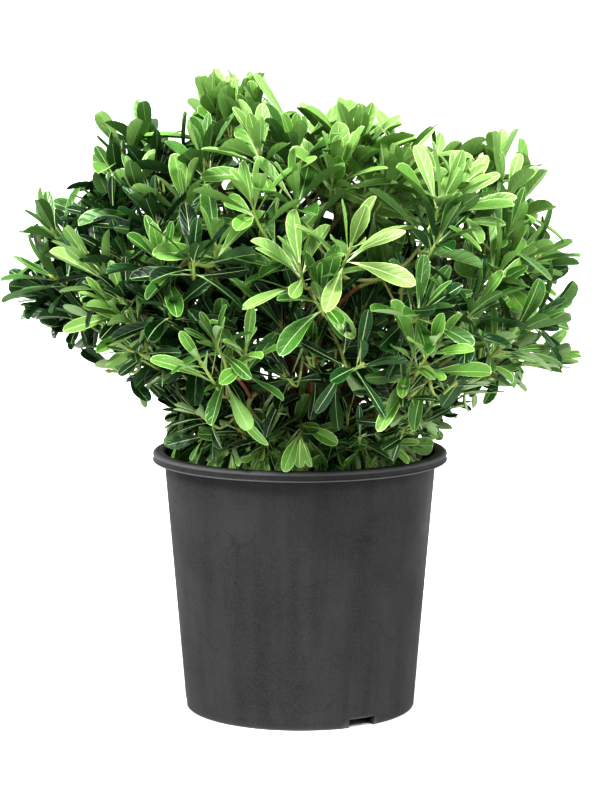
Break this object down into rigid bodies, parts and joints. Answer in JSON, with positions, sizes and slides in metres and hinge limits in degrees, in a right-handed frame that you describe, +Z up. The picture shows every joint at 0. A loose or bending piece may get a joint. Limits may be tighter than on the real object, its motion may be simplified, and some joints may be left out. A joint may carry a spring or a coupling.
{
  "type": "potted japanese pittosporum",
  "caption": "Dense rounded evergreen shrub with whorls of blunt leathery leaves on branching stems, in a round tapered nursery pot with a rolled rim.",
  "frame": {"origin": "centre of the pot's flat underside, at ground level", "axes": "+Z up along the pot's axis; -Y towards the viewer of the picture; +X to the viewer's right"},
  "size_m": [0.5833, 0.5899, 0.6545],
  "materials": {
    "pot": "matt dark grey moulded polypropylene, lightly scuffed, with a soft sheen on the rim",
    "soil": "damp dark brown potting soil with bark chips",
    "bark": "matt reddish-brown to grey-brown young bark with fine ridges and breathing pores",
    "foliage": "leathery semi-gloss leaves, dark to yellow-green, paler underneath, with pale midribs"
  },
  "bodies": {
    "root": {"pot": "pot", "soil": "soil", "stem": "bark", "bough_main_1": "bark", "bough_main_2": "bark", "bough_main_3": "bark", "bough_main_4": "bark", "bough_main_5": "bark", "bough_main_6": "bark", "bough_leader": "bark", "bough_top_1": "bark", "bough_top_2": "bark", "bough_side_1": "bark", "bough_side_2": "bark", "bough_side_3": "bark", "bough_side_4": "bark", "bough_side_5": "bark", "bough_side_6": "bark", "foliage_top_1": "foliage", "foliage_top_2": "foliage", "foliage_top_3": "foliage", "foliage_shoulder_1": "foliage", "foliage_shoulder_2": "foliage", "foliage_shoulder_3": "foliage", "foliage_shoulder_4": "foliage", "foliage_shoulder_5": "foliage", "foliage_shoulder_6": "foliage", "foliage_skirt_1": "foliage", "foliage_skirt_2": "foliage", "foliage_skirt_3": "foliage", "foliage_skirt_4": "foliage", "foliage_skirt_5": "foliage", "foliage_skirt_6": "foliage"}
  },
  "joints": []
}
